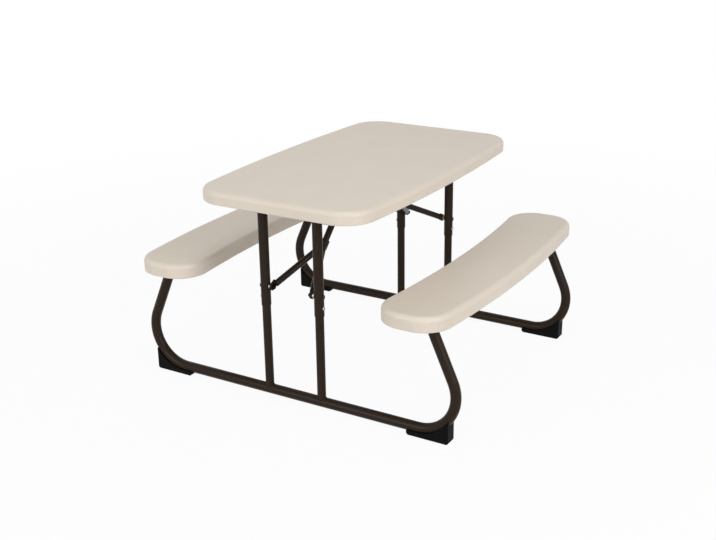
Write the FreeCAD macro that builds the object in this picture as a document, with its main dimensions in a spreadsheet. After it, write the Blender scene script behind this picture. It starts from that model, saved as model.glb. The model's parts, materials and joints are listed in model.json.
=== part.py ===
import FreeCAD, Part
import Sketcher
import math
import os
from types import SimpleNamespace

# A child-size folding picnic table: a blow-moulded top and two crescent benches
# on two bent-tube end frames. +X runs along the table, +Z is up and the origin is
# on the floor below the middle of the top. The near end is at -X, the left bench
# at +Y. Lengths are millimetres and angles are degrees.
SIZES = {
    # moulded top
    "table_height": 533.0,
    "table_length": 826.0,
    "table_width": 490.0,
    "table_bow": 20.0,
    "table_corner": 79.0,
    "table_skirt_depth": 32.0,
    "table_skirt_width": 24.0,
    "table_panel": 18.0,
    "lip_round": 12.0,
    "rim_round": 3.0,
    "recess_round": 3.0,
    # dimples that join the two walls of the mouldings
    "tack_radius": 13.0,
    "tack_depth": 8.0,
    "tack_taper": 25.0,
    "table_tack_rows": 4,
    "table_tack_columns": 5,
    "table_tack_pitch_x": 96.0,
    "table_tack_pitch_y": 88.0,
    "bench_tack_columns": 7,
    "bench_tack_inset": 74.5,
    # benches
    "bench_rise": 46.0,
    "bench_end_overhang": 76.5,
    "bench_bolt_room": 13.6,
    "bench_width": 171.0,
    "bench_curve": 3134.0,
    "bench_corner": 71.0,
    "corner_limit_share": 0.46,
    "bench_skirt_depth": 36.0,
    "bench_skirt_width": 18.0,
    "bench_panel": 20.0,
    # end frames
    "leg_spacing": 152.4,
    "base_tube_diameter": 25.4,
    "base_tube_wall": 1.4,
    "base_height": 18.2,
    "base_reach": 435.0,
    "base_bend": 96.0,
    "lean_angle": 24.0,
    "top_bend": 45.0,
    "bench_pivot_height": 280.0,
    "tube_stub": 16.8,
    "tube_end_rise": 13.0,
    "leg_diameter": 21.3,
    "leg_wall": 1.2,
    "sleeve_fit": 0.1,
    "sleeve_wall": 1.3,
    "sleeve_end_height": 243.0,
    "leg_insertion": 36.0,
    "pivot_drop": 45.0,
    "cross_tube_end": 2.5,
    "weld_gap": 0.05,
    "plug_flange": 3.0,
    "plug_spigot": 14.0,
    "plug_fit": 0.1,
    # feet
    "foot_side_wall": 2.8,
    "foot_tail": 23.0,
    "foot_setback": 11.0,
    "foot_wall_drop": 6.5,
    "foot_corner": 6.0,
    "foot_edge": 1.2,
    "foot_chamfer": 4.0,
    "foot_fit": 0.1,
    # brackets that carry the cross tubes
    "pivot_bracket_gap": 1.25,
    "pivot_bracket_room": 8.5,
    "pivot_bracket_width": 30.0,
    "pivot_bracket_flange": 18.0,
    "bracket_steel": 2.0,
    "pivot_fit": 0.08,
    "saddle_length": 44.0,
    # braces
    "brace_bolt_rise": 49.0,
    "brace_washer": 4.57,
    "arm_diameter": 15.9,
    "arm_wall": 1.2,
    "lug_thickness": 5.0,
    "lug_length": 16.0,
    "lug_overlap": 4.0,
    "lug_radius": 9.0,
    "junction_inset": 144.0,
    "junction_rise": 73.0,
    "keeper_from_middle": 58.0,
    "keeper_drop": 33.0,
    "collar_diameter": 22.2,
    "collar_length": 22.0,
    "collar_fit": 0.08,
    "rod_radius": 4.0,
    "rod_head_radius": 5.5,
    "hook_fit": 0.55,
    "hook_wall": 5.0,
    "hook_width": 18.0,
    "hook_back_angle": 5.0,
    "hook_span_angle": 108.0,
    "hook_neck": 0.9,
    "hook_spigot": 18.0,
    "keeper_gap": 30.0,
    "keeper_plate": 26.0,
    "keeper_flange": 16.0,
    # fasteners
    "bolt_radius": 3.2,
    "bolt_fit": 0.08,
    "bolt_head_radius": 6.2,
    "bolt_head_height": 4.2,
    "nut_radius": 6.0,
    "nut_height": 6.0,
    "screw_radius": 2.0,
    "screw_head_radius": 4.6,
    "screw_head_height": 2.6,
    "screw_rise": 21.0,
    "screw_depth": 12.0,
    "bench_screw_spacing": 26.0,
    # bench brackets
    "bench_bracket_fit": 1.2,
    "bench_bracket_end": 10.0,
    "bench_bracket_round_share": 1.06,
    "bench_bracket_top": 46.0,
    "bench_bracket_flange": 16.0,
    # room past a face for every cut
    "overrun": 40.0,
}

# How close two coordinates are where they count as the same.
TOUCH = 1e-6
ENDS = (("near", -1, 0), ("far", 1, 180))
OTHER_SIDE = {"left": "right", "right": "left"}

doc = FreeCAD.newDocument("folding_picnic_table")
sheet = doc.addObject("Spreadsheet::Sheet", "Sizes")
for row, (alias, number) in enumerate(SIZES.items(), start=1):
    sheet.set("A%d" % row, alias)
    sheet.set("B%d" % row, str(number))
    sheet.setAlias("B%d" % row, alias)
doc.recompute()


class Size:
    """A number together with the sheet formula that gives it."""

    def __init__(self, number, formula):
        self.number = float(number)
        self.formula = formula

    def joined(self, sign, other, number):
        text = other.formula if isinstance(other, Size) else repr(other)
        return Size(number, "(%s %s %s)" % (self.formula, sign, text))

    def __add__(self, other):
        return self.joined("+", other, self.number + plain(other))

    def __sub__(self, other):
        return self.joined("-", other, self.number - plain(other))

    def __mul__(self, other):
        return self.joined("*", other, self.number * plain(other))

    def __truediv__(self, other):
        return self.joined("/", other, self.number / plain(other))

    def __neg__(self):
        return Size(-self.number, "(-%s)" % self.formula)


def plain(value):
    return value.number if isinstance(value, Size) else value


def sine(angle):
    return Size(math.sin(math.radians(angle.number)), "sin(%s)" % angle.formula)


def cosine(angle):
    return Size(math.cos(math.radians(angle.number)), "cos(%s)" % angle.formula)


def root(area):
    return Size(math.sqrt(area.number), "sqrt(%s)" % area.formula)


def arc_cosine(share):
    return Size(math.degrees(math.acos(share.number)), "(acos(%s) / (1 deg))" % share.formula)


def arc_tangent(share):
    return Size(math.degrees(math.atan(share.number)), "(atan(%s) / (1 deg))" % share.formula)


def at_most(value, limit):
    return Size(min(value.number, limit.number), "min(%s; %s)" % (value.formula, limit.formula))


ZERO = Size(0, "0")
HALF_TURN = Size(180, "180")

size = SimpleNamespace(**{name: Size(value, "Sizes." + name) for name, value in SIZES.items()})
base_radius = size.base_tube_diameter / 2
sub_parts = []

# The frames stand in from the ends of the top by the skirt and the brackets' flanges
frame_inset = (size.table_skirt_width + size.saddle_length / 2 + size.bracket_steel
               + size.pivot_bracket_flange + size.pivot_bracket_room)
frame_spacing = size.table_length - frame_inset * 2
half_spacing = frame_spacing / 2
half_legs = size.leg_spacing / 2
sleeve_diameter = size.leg_diameter + (size.sleeve_fit + size.sleeve_wall) * 2
table_underside = size.table_height - size.table_panel
pivot_height = size.table_height - size.pivot_drop
saddle_drop = size.pivot_drop - size.table_panel - size.bracket_steel
pivot_bracket_inner = half_legs + sleeve_diameter / 2 + size.pivot_bracket_gap
pivot_bracket_offset = pivot_bracket_inner + size.pivot_bracket_width / 2
cross_tube_length = (pivot_bracket_inner + size.pivot_bracket_width + size.cross_tube_end) * 2

# Braces, from the bolts in the sleeves to the keepers below the top
brace_bolt_height = size.sleeve_end_height + size.brace_bolt_rise
screw_height = size.sleeve_end_height + size.screw_rise
arm_offset = half_legs - sleeve_diameter / 2 - size.brace_washer - size.bolt_fit - size.lug_thickness / 2
junction_height = brace_bolt_height + size.junction_rise
keeper_inset = half_spacing - size.keeper_from_middle
keeper_height = size.table_height - size.keeper_drop

# Centre line of the base tube: the foot bend, the lean inwards and the upright end for the bench
bend_y = size.base_reach - size.base_bend
bend_z = size.base_height + size.base_bend
low_y = bend_y + size.base_bend * cosine(size.lean_angle)
low_z = bend_z + size.base_bend * sine(size.lean_angle)
tube_top = size.bench_pivot_height + size.tube_end_rise
stub_z = tube_top - size.tube_stub
high_z = stub_z - size.top_bend * sine(size.lean_angle)
high_y = low_y - (high_z - low_z) * sine(size.lean_angle) / cosine(size.lean_angle)
bench_pivot_offset = high_y - size.top_bend + size.top_bend * cosine(size.lean_angle)
foot_inner_end = bend_y - size.foot_tail
foot_outer_face = size.base_reach - size.foot_setback
foot_width = size.base_tube_diameter + size.foot_side_wall * 2

# Benches, which clear the heads of their bolts inside the skirt
bench_height = size.bench_pivot_height + size.bench_rise
bench_underside = bench_height - size.bench_panel
bench_length = frame_spacing + size.bench_end_overhang * 2
bench_bracket_half = base_radius + size.bench_bracket_fit + size.bracket_steel
bolt_end = bench_pivot_offset + bench_bracket_half + size.bolt_head_height
skirt_curve = size.bench_curve - size.bench_skirt_width
head_x = half_spacing + size.bolt_head_radius
bench_reach = (bolt_end + size.bench_bolt_room + size.bench_curve
               - root(skirt_curve * skirt_curve - head_x * head_x))


def vector(x, y, z):
    return FreeCAD.Vector(plain(x), plain(y), plain(z))


def bind(obj, **properties):
    """Sets each property and ties it to its sheet formula."""
    for name, value in properties.items():
        setattr(obj, name, value.number)
        obj.setExpression(name, value.formula)


def put(obj, x=0, y=0, z=0):
    """Places an object, tied to the sheet along each axis that has a size."""
    obj.Placement.Base = vector(x, y, z)
    for axis, value in zip("xyz", (x, y, z)):
        if isinstance(value, Size):
            obj.setExpression("Placement.Base." + axis, value.formula)


# Part primitives

TURN = {
    "X": FreeCAD.Rotation(FreeCAD.Vector(0, 1, 0), 90),
    "Y": FreeCAD.Rotation(FreeCAD.Vector(1, 0, 0), -90),
    "Z": FreeCAD.Rotation(),
}


def cylinder(radius, height, at=(0, 0, 0), axis="Z"):
    obj = doc.addObject("Part::Cylinder", "Cylinder")
    bind(obj, Radius=radius, Height=height)
    obj.Placement.Rotation = TURN[axis]
    put(obj, *at)
    return obj


def box(length, width, height, at):
    obj = doc.addObject("Part::Box", "Box")
    bind(obj, Length=length, Width=width, Height=height)
    put(obj, *at)
    return obj


def fuse(*pieces):
    obj = doc.addObject("Part::MultiFuse", "Fuse")
    obj.Shapes = list(pieces)
    return obj


def cut(base, *tools):
    for tool in tools:
        obj = doc.addObject("Part::Cut", "Cut")
        obj.Base = base
        obj.Tool = tool
        base = obj
    return base


def group(*pieces):
    obj = doc.addObject("Part::Compound", "Group")
    obj.Links = list(pieces)
    return obj


def finish(obj, label):
    obj.Label = label
    sub_parts.append(obj)
    return obj


def at_end(obj, sign, turn):
    """Moves a piece from the frame's own plane to the near or the far end."""
    about = FreeCAD.Rotation(FreeCAD.Vector(0, 0, 1), turn)
    obj.Placement = FreeCAD.Placement(FreeCAD.Vector(), about) * obj.Placement
    put(obj, half_spacing * sign, 0, 0)
    return obj


def side_name(end, side):
    """The far frame is the near one turned about, so its own left is the table's right."""
    return side if end == "near" else OTHER_SIDE[side]


# Sketches and features

def new_body(name):
    return doc.addObject("PartDesign::Body", name)


def new_sketch(body, plane, lift=None):
    sketch = body.newObject("Sketcher::SketchObject", "Sketch")
    support = [f for f in body.Origin.OriginFeatures if f.Role == plane + "_Plane"][0]
    sketch.AttachmentSupport = [(support, "")]
    sketch.MapMode = "FlatFace"
    if lift is not None:
        sketch.AttachmentOffset.Base.z = lift.number
        sketch.setExpression("AttachmentOffset.Base.z", lift.formula)
    return sketch


def hold(sketch, kind, *where, value):
    """Adds a constraint that follows its sheet formula."""
    index = sketch.addConstraint(Sketcher.Constraint(kind, *where, plain(value)))
    if isinstance(value, Size):
        sketch.setExpression("Constraints[%d]" % index, value.formula)


def add_circle(sketch, x, y, radius):
    index = sketch.addGeometry(Part.Circle(vector(x, y, 0), FreeCAD.Vector(0, 0, 1), radius.number))
    hold(sketch, "Radius", index, value=radius)
    hold(sketch, "DistanceX", index, 3, value=x)
    hold(sketch, "DistanceY", index, 3, value=y)
    return index


def add_outline(sketch, corners, bulges=(), closed=True):
    """A line from corner to corner, counter-clockwise where it is closed. bulges maps an edge to the
    radius of its arc, negative where the arc swells to the left of the way along the line."""
    bulges = dict(bulges)
    edges = []
    for index in range(len(corners) if closed else len(corners) - 1):
        first = vector(*corners[index], 0)
        last = vector(*corners[(index + 1) % len(corners)], 0)
        radius = bulges.get(index)
        if radius is None:
            edges.append((sketch.addGeometry(Part.LineSegment(first, last)), 1, 2))
            continue
        chord = last - first
        right = FreeCAD.Vector(chord.y, -chord.x, 0).normalize()
        reach = abs(radius.number)
        sagitta = reach - math.sqrt(max(reach ** 2 - (chord.Length / 2) ** 2, 0))
        middle = (first + last) / 2 + right * math.copysign(sagitta, radius.number)
        ends = (1, 2) if radius.number > 0 else (2, 1)
        edges.append((sketch.addGeometry(Part.Arc(first, middle, last)), *ends))
    for index, (geometry, start, end) in enumerate(edges):
        pin(sketch, geometry, start, corners[index])
        if closed or index + 1 < len(edges):
            following, point, _ = edges[(index + 1) % len(edges)]
            sketch.addConstraint(Sketcher.Constraint("Coincident", geometry, end, following, point))
        else:
            pin(sketch, geometry, end, corners[-1])
        if index in bulges:
            radius = bulges[index]
            hold(sketch, "Radius", geometry, value=-radius if radius.number < 0 else radius)


def pin(sketch, geometry, point, place):
    hold(sketch, "DistanceX", geometry, point, value=place[0])
    hold(sketch, "DistanceY", geometry, point, value=place[1])


def pad(body, sketch, length, symmetric=False, down=False):
    feature = body.newObject("PartDesign::Pad", "Pad")
    feature.Profile = sketch
    bind(feature, Length=length)
    feature.SideType = "Symmetric" if symmetric else "One side"
    feature.Reversed = down
    doc.recompute()
    return feature


def pocket(body, sketch, depth=None, up=False, taper=None):
    """Cuts a sketch down, up, or right through on both sides where no depth is given."""
    before = body.Shape.Volume
    feature = body.newObject("PartDesign::Pocket", "Pocket")
    feature.Profile = sketch
    if depth is None:
        feature.Type = "ThroughAll"
        feature.SideType = "Symmetric"
    else:
        bind(feature, Length=depth)
        feature.Reversed = up
    if taper is not None:
        bind(feature, TaperAngle=-taper)
    doc.recompute()
    if body.Shape.Volume >= before:
        raise RuntimeError("a pocket in %s cuts nothing" % body.Name)
    return feature


def edge_names(body, test):
    return ["Edge%d" % (i + 1) for i, edge in enumerate(body.Shape.Edges) if test(edge)]


def round_edges(body, radius, test, kind="Fillet"):
    names = edge_names(body, test)
    if not names:
        raise RuntimeError("no edge to round in %s" % body.Name)
    tip = body.Tip
    feature = body.newObject("PartDesign::" + kind, kind)
    feature.Base = (tip, names)
    bind(feature, **{"Size" if kind == "Chamfer" else "Radius": radius})
    doc.recompute()
    if "Invalid" in feature.State:
        raise RuntimeError("%d edges of %s are not rounded" % (len(names), body.Name))
    return feature


def is_upright(edge):
    ends = [vertex.Point for vertex in edge.Vertexes]
    return len(ends) == 2 and math.hypot(ends[0].x - ends[1].x, ends[0].y - ends[1].y) < TOUCH


def top_of(edge):
    return edge.BoundBox.ZMax


def lies_at(height):
    return lambda edge: edge.BoundBox.ZLength < TOUCH and abs(top_of(edge) - height) < TOUCH


# Moulded top and benches

def moulding(name, outline, depth, panel, corner, skirt_width):
    """A slab with rounded corners and a recess below, its top face at z = 0. outline gives the
    corners and arcs of the edge, set in by a distance."""
    body = new_body(name)
    sketch = new_sketch(body, "XY")
    add_outline(sketch, *outline(None))
    pad(body, sketch, depth, down=True)
    sketch = new_sketch(body, "XY", -depth)
    add_outline(sketch, *outline(skirt_width))
    pocket(body, sketch, depth - panel, up=True)
    floor = -panel.number
    round_edges(body, corner - skirt_width, lambda edge: is_upright(edge) and top_of(edge) < floor + TOUCH)
    round_edges(body, corner, lambda edge: is_upright(edge) and top_of(edge) > floor + TOUCH)
    round_edges(body, size.lip_round, lies_at(0))
    round_edges(body, size.rim_round, lies_at(-depth.number))
    round_edges(body, size.recess_round, lies_at(floor))
    return body


def tack_dimples(body, panel, rows, columns, pitch):
    """Rows of tapered dimples in the underside, repeated along the length."""
    sketch = new_sketch(body, "XY", -panel)
    start = pitch * ((columns.number - 1) / -2)
    for y in rows:
        add_circle(sketch, start, y, size.tack_radius)
    feature = pocket(body, sketch, size.tack_depth, up=True, taper=size.tack_taper)
    pattern = body.newObject("PartDesign::LinearPattern", "Dimples")
    pattern.Originals = [feature]
    pattern.Direction = (sketch, ["H_Axis"])
    pattern.Mode = "Spacing"
    bind(pattern, Offset=pitch)
    pattern.Occurrences = int(columns.number)
    body.Tip = pattern
    doc.recompute()


def table_outline(inset):
    """Straight ends and long sides that bow out towards the middle."""
    length = size.table_length / 2
    bow = size.table_bow
    radius = (length * length + bow * bow) / (bow * 2)
    width = size.table_width / 2 - bow
    if inset is not None:
        length = length - inset
        radius = radius - inset
        centre = size.table_width / 2 - inset - radius
        width = centre + root(radius * radius - length * length)
    corners = ((length, -width), (length, width), (-length, width), (-length, -width))
    return corners, ((1, radius), (3, radius))


def bench_outline(inset):
    """A band between two arcs about one centre, so that it curves round the table."""
    length = bench_length / 2
    outer = size.bench_curve
    inner = size.bench_curve - size.bench_width
    if inset is not None:
        length = length - inset
        outer = outer - inset
        inner = inner + inset
    centre = bench_reach - size.bench_curve
    outer_y = centre + root(outer * outer - length * length)
    inner_y = centre + root(inner * inner - length * length)
    corners = ((length, inner_y), (length, outer_y), (-length, outer_y), (-length, inner_y))
    return corners, ((1, outer), (3, -inner))


def make_table_top():
    body = moulding("TableTop", table_outline, size.table_skirt_depth, size.table_panel,
                    at_most(size.table_corner, size.table_width * size.corner_limit_share),
                    size.table_skirt_width)
    # Saddles in the underside take the upper half of each cross tube
    sketch = new_sketch(body, "XY", -size.table_panel)
    across = size.saddle_length / 2
    along = size.pivot_bracket_width / 2
    for x_sign in (-1, 1):
        for y_sign in (-1, 1):
            x = half_spacing * x_sign
            y = pivot_bracket_offset * y_sign
            add_outline(sketch, ((x - across, y - along), (x + across, y - along),
                                 (x + across, y + along), (x - across, y + along)))
    pad(body, sketch, saddle_drop, down=True)
    sketch = new_sketch(body, "XZ")
    for x_sign in (-1, 1):
        add_circle(sketch, half_spacing * x_sign, pivot_height - size.table_height,
                   base_radius + size.pivot_fit)
    pocket(body, sketch)
    screw_holes(body, size.table_panel, table_screw_places())
    rows = [size.table_tack_pitch_y * (row - (size.table_tack_rows.number - 1) / 2)
            for row in range(int(size.table_tack_rows.number))]
    tack_dimples(body, size.table_panel, rows, size.table_tack_columns, size.table_tack_pitch_x)
    put(body, 0, 0, size.table_height)
    finish(body, "table_top")


def table_screw_places():
    """Where screws hold the pivot brackets and the brace keepers."""
    flange = size.saddle_length / 2 + size.bracket_steel + size.pivot_bracket_flange / 2
    cheek = size.keeper_gap / 2 + size.bracket_steel + size.keeper_flange / 2
    places = []
    for sign in (-1, 1):
        for y_sign in (-1, 1):
            places.append(((half_spacing - flange) * sign, pivot_bracket_offset * y_sign))
            places.append(((half_spacing + flange) * sign, pivot_bracket_offset * y_sign))
            places.append(((half_spacing - keeper_inset) * sign, cheek * y_sign))
    return places


def bench_screw_places():
    """Where screws hold the brackets of the left bench."""
    flange = bench_bracket_half + size.bench_bracket_flange / 2
    half = size.bench_screw_spacing / 2
    y = bench_pivot_offset - flange
    return [(half_spacing * sign + half * step, y) for sign in (-1, 1) for step in (-1, 1)]


def screw_holes(body, panel, places):
    """Blind holes in the underside of a moulding."""
    sketch = new_sketch(body, "XY", -panel)
    for x, y in places:
        add_circle(sketch, x, y, size.screw_radius + size.bolt_fit)
    pocket(body, sketch, size.screw_depth, up=True)


def make_screws(label, places, underside, turn=0):
    """Screws up through a bracket's flange into a moulding."""
    seat = underside - size.bracket_steel
    head = seat - size.screw_head_height
    reach = size.screw_depth + size.bracket_steel - size.screw_head_height
    screws = [fuse(cylinder(size.screw_head_radius, size.screw_head_height, (x, y, head)),
                   cylinder(size.screw_radius, reach, (x, y, seat))) for x, y in places]
    screws = group(*screws)
    screws.Placement.Rotation = FreeCAD.Rotation(FreeCAD.Vector(0, 0, 1), turn)
    finish(screws, label)


def flange_hole(x, y, underside):
    """The hole for one screw in a bracket's flange."""
    return cylinder(size.screw_radius + size.bolt_fit, size.overrun, (x, y, underside - size.overrun / 2))


def make_bench(side, turn):
    body = moulding(side.capitalize() + "Bench", bench_outline, size.bench_skirt_depth, size.bench_panel,
                    at_most(size.bench_corner, size.bench_width * size.corner_limit_share),
                    size.bench_skirt_width)
    middle = bench_reach - size.bench_width / 2
    pitch = (frame_spacing - size.bench_tack_inset * 2) / (size.bench_tack_columns - 1)
    tack_dimples(body, size.bench_panel, [middle], size.bench_tack_columns, pitch)
    screw_holes(body, size.bench_panel, bench_screw_places())
    body.Placement.Rotation = FreeCAD.Rotation(FreeCAD.Vector(0, 0, 1), turn)
    put(body, 0, 0, bench_height)
    finish(body, side + "_bench")


# End frames, drawn in the frame's own plane with +X towards the middle of the table

def base_path(sketch):
    """Centre line of the base tube: a foot bend at each side, a lean inwards and an upright end."""
    left = [(bench_pivot_offset, tube_top), (bench_pivot_offset, stub_z), (high_y, high_z), (low_y, low_z),
            (bend_y, size.base_height)]
    right = [(-y, z) for y, z in left[::-1]]
    bends = ((1, size.top_bend), (3, -size.base_bend), (5, -size.base_bend), (7, size.top_bend))
    add_outline(sketch, left + right, bends, closed=False)


def make_base_tube(end, sign, turn):
    bore = base_radius - size.base_tube_wall
    body = new_body(end.capitalize() + "BaseTube")
    path = new_sketch(body, "YZ")
    base_path(path)
    profile = new_sketch(body, "XY", tube_top)
    for radius in (base_radius, bore):
        add_circle(profile, ZERO, bench_pivot_offset, radius)
    pipe = body.newObject("PartDesign::AdditivePipe", "Pipe")
    pipe.Profile = profile
    pipe.Spine = (path, ["Edge%d" % (i + 1) for i in range(path.GeometryCount)])
    doc.recompute()
    # Holes for the bolts on which the benches turn
    sketch = new_sketch(body, "XZ")
    add_circle(sketch, ZERO, size.bench_pivot_height, size.bolt_radius + size.bolt_fit)
    pocket(body, sketch)
    finish(at_end(body, sign, turn), end + "_base_tube")


def make_foot(end, sign, turn, side):
    """A moulded wedge that fills the corner below the bend and cups the tube."""
    body = new_body("Foot")
    rim = size.base_bend + size.foot_wall_drop
    reach = foot_outer_face - bend_y
    rim_z = bend_z - root(rim * rim - reach * reach)
    floor = ZERO
    wall_z = bend_z - rim
    corners = ((foot_inner_end + size.foot_chamfer, floor), (foot_outer_face, floor),
               (foot_outer_face, rim_z), (bend_y, wall_z), (foot_inner_end, wall_z),
               (foot_inner_end, size.foot_chamfer))
    sketch = new_sketch(body, "YZ")
    add_outline(sketch, corners, ((2, -rim),))
    pad(body, sketch, foot_width, symmetric=True)
    outer = foot_outer_face.number
    round_edges(body, size.foot_corner, lambda edge: abs(edge.BoundBox.YMin - outer) < TOUCH
                and abs(edge.BoundBox.YMax - outer) < TOUCH and edge.BoundBox.ZMax < TOUCH)
    # The lower and outer edges of both sides are rounded, and the rim of the cup stays sharp
    round_edges(body, size.foot_edge, lambda edge: edge.BoundBox.XLength < TOUCH
                and (top_of(edge) < size.foot_corner.number + TOUCH or edge.BoundBox.YMin > outer - TOUCH))
    groove = new_sketch(body, "XZ", -foot_inner_end + size.overrun)
    add_circle(groove, floor, size.base_height, base_radius + size.foot_fit)
    path = new_sketch(body, "YZ")
    groove_path(path)
    pipe = body.newObject("PartDesign::SubtractivePipe", "Groove")
    pipe.Profile = groove
    pipe.Spine = (path, ["Edge1", "Edge2"])
    doc.recompute()
    if side == "right":
        body.Placement.Rotation = FreeCAD.Rotation(FreeCAD.Vector(0, 0, 1), 180)
    finish(at_end(body, sign, turn), "%s_%s_foot" % (end, side_name(end, side)))


def groove_path(path):
    """The stretch of the tube's centre line that lies in a foot, and a little past it."""
    start = foot_inner_end - size.overrun
    corners = ((start, size.base_height), (bend_y, size.base_height), (bend_y + size.base_bend, bend_z))
    add_outline(path, corners, ((1, size.base_bend),), closed=False)


def make_leg(end, sign, turn, side, y_sign):
    """A lower leg welded to the base tube, pushed into the sleeve that hangs from the cross tube."""
    label = "%s_%s" % (end, side_name(end, side))
    y = half_legs * y_sign
    top = size.sleeve_end_height + size.leg_insertion
    radius = size.leg_diameter / 2
    screw_hole = cylinder(size.screw_radius + size.bolt_fit, sleeve_diameter,
                          (0, y if y_sign > 0 else y - sleeve_diameter, screw_height), "Y")
    lower = cut(cylinder(radius, top - size.base_height, (0, y, size.base_height)),
                cylinder(radius - size.leg_wall, top, (0, y, size.base_height)),
                cylinder(base_radius + size.weld_gap, sleeve_diameter * 2,
                         (0, y - sleeve_diameter, size.base_height), "Y"),
                screw_hole)
    finish(at_end(lower, sign, turn), label + "_lower_leg")
    radius = sleeve_diameter / 2
    length = pivot_height - size.sleeve_end_height
    upper = cut(cylinder(radius, length, (0, y, size.sleeve_end_height)),
                cylinder(radius - size.sleeve_wall, length + size.overrun,
                         (0, y, size.sleeve_end_height - size.overrun / 2)),
                cylinder(base_radius + size.weld_gap, sleeve_diameter * 2,
                         (0, y - sleeve_diameter, pivot_height), "Y"),
                cylinder(size.bolt_radius + size.bolt_fit, sleeve_diameter * 2,
                         (0, y - sleeve_diameter, brace_bolt_height), "Y"),
                screw_hole)
    finish(at_end(upper, sign, turn), label + "_upper_leg")


def make_cross_tube(end, sign, turn):
    """The tube on which the frame turns, with a plug in each end."""
    length = cross_tube_length
    bore = base_radius - size.base_tube_wall
    through = length + size.overrun
    tube = cut(cylinder(base_radius, length, (0, -length / 2, pivot_height), "Y"),
               cylinder(bore, through, (0, -through / 2, pivot_height), "Y"))
    finish(at_end(tube, sign, turn), end + "_cross_tube")
    spigot = bore - size.plug_fit
    plugs = []
    for flange_y, spigot_y in ((length / 2, length / 2 - size.plug_spigot),
                               (-length / 2 - size.plug_flange, -length / 2)):
        plugs.append(fuse(cylinder(base_radius, size.plug_flange, (0, flange_y, pivot_height), "Y"),
                          cylinder(spigot, size.plug_spigot, (0, spigot_y, pivot_height), "Y")))
    finish(at_end(group(*plugs), sign, turn), end + "_cross_tube_plugs")


def make_tube_caps(end, sign, turn):
    """Caps in the upright ends of the base tube, below the benches."""
    spigot = base_radius - size.base_tube_wall - size.plug_fit
    depth = size.tube_end_rise - size.bolt_radius * 2
    caps = []
    for y_sign in (1, -1):
        y = bench_pivot_offset * y_sign
        caps.append(fuse(cylinder(base_radius, size.plug_flange, (0, y, tube_top)),
                         cylinder(spigot, depth, (0, y, tube_top - depth))))
    finish(at_end(group(*caps), sign, turn), end + "_tube_caps")


def make_sleeve_screws(end, sign, turn):
    """Screws through sleeve and lower leg, heads on the outer sides."""
    face = half_legs + sleeve_diameter / 2
    depth = size.sleeve_wall + size.leg_wall * 3
    screws = []
    for head_y, shank_y in ((face, face - depth), (-face - size.screw_head_height, -face)):
        screws.append(fuse(
            cylinder(size.screw_head_radius, size.screw_head_height, (0, head_y, screw_height), "Y"),
            cylinder(size.screw_radius, depth, (0, shank_y, screw_height), "Y")))
    finish(at_end(group(*screws), sign, turn), end + "_sleeve_screws")


def bolt(head_y, tip_y, z, y_sign):
    """A bolt along Y with its head against head_y and its shank up to tip_y."""
    low = tip_y if y_sign > 0 else head_y
    head_low = head_y if y_sign > 0 else head_y - size.bolt_head_height
    length = (head_y - tip_y) if y_sign > 0 else (tip_y - head_y)
    return fuse(cylinder(size.bolt_head_radius, size.bolt_head_height, (0, head_low, z), "Y"),
                cylinder(size.bolt_radius, length, (0, low, z), "Y"))


def ring(outer, height, y, z):
    hole = size.bolt_radius + size.bolt_fit
    return cut(cylinder(outer, height, (0, y, z), "Y"),
               cylinder(hole, height + size.overrun, (0, y - size.overrun / 2, z), "Y"))


def make_brace_bolts(end, sign, turn):
    """Bolts through the legs that carry the brace, with washers and nuts on the inner sides."""
    z = brace_bolt_height
    outer = half_legs + sleeve_diameter / 2
    inner = half_legs - sleeve_diameter / 2
    lug_outer = arm_offset + size.lug_thickness / 2
    lug_inner = arm_offset - size.lug_thickness / 2 - size.bolt_fit
    tip = lug_inner - size.nut_height
    bolts = []
    nuts = []
    washers = []
    for y_sign in (1, -1):
        bolts.append(bolt(outer * y_sign, tip * y_sign, z, y_sign))
        nut_y = tip if y_sign > 0 else -lug_inner
        nuts.append(ring(size.nut_radius, size.nut_height, nut_y, z))
        washer_y = lug_outer + size.bolt_fit if y_sign > 0 else -inner
        washers.append(ring(size.nut_radius, size.brace_washer, washer_y, z))
    finish(at_end(group(*bolts), sign, turn), end + "_brace_bolts")
    finish(at_end(group(*nuts), sign, turn), end + "_brace_nuts")
    finish(at_end(group(*washers), sign, turn), end + "_brace_washers")


# Brackets below the top

def make_pivot_bracket(end, sign, turn, side, y_sign):
    """A steel strap that holds the cross tube up in its moulded saddle."""
    z = pivot_height
    inner = base_radius + size.pivot_fit
    outer = inner + size.bracket_steel
    width = size.pivot_bracket_width
    y = pivot_bracket_offset * y_sign - width / 2
    start = y - size.overrun / 2
    through = width + size.overrun
    saddle = size.saddle_length / 2
    top = table_underside
    wall = saddle + size.bracket_steel
    rise = top - z
    strap = fuse(cylinder(outer, width, (0, y, z), "Y"),
                 box(wall * 2, width, rise, (-wall, y, z)),
                 box((wall + size.pivot_bracket_flange) * 2, width, size.bracket_steel,
                     (-wall - size.pivot_bracket_flange, y, top - size.bracket_steel)))
    hollow = fuse(cylinder(inner, through, (0, start, z), "Y"),
                  box(saddle * 2, through, rise, (-saddle, start, z + size.bracket_steel)))
    middle = pivot_bracket_offset * y_sign
    flange = wall + size.pivot_bracket_flange / 2
    strap = cut(strap, hollow, flange_hole(-flange, middle, top), flange_hole(flange, middle, top))
    finish(at_end(strap, sign, turn), "%s_%s_pivot_bracket" % (end, side_name(end, side)))


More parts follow.
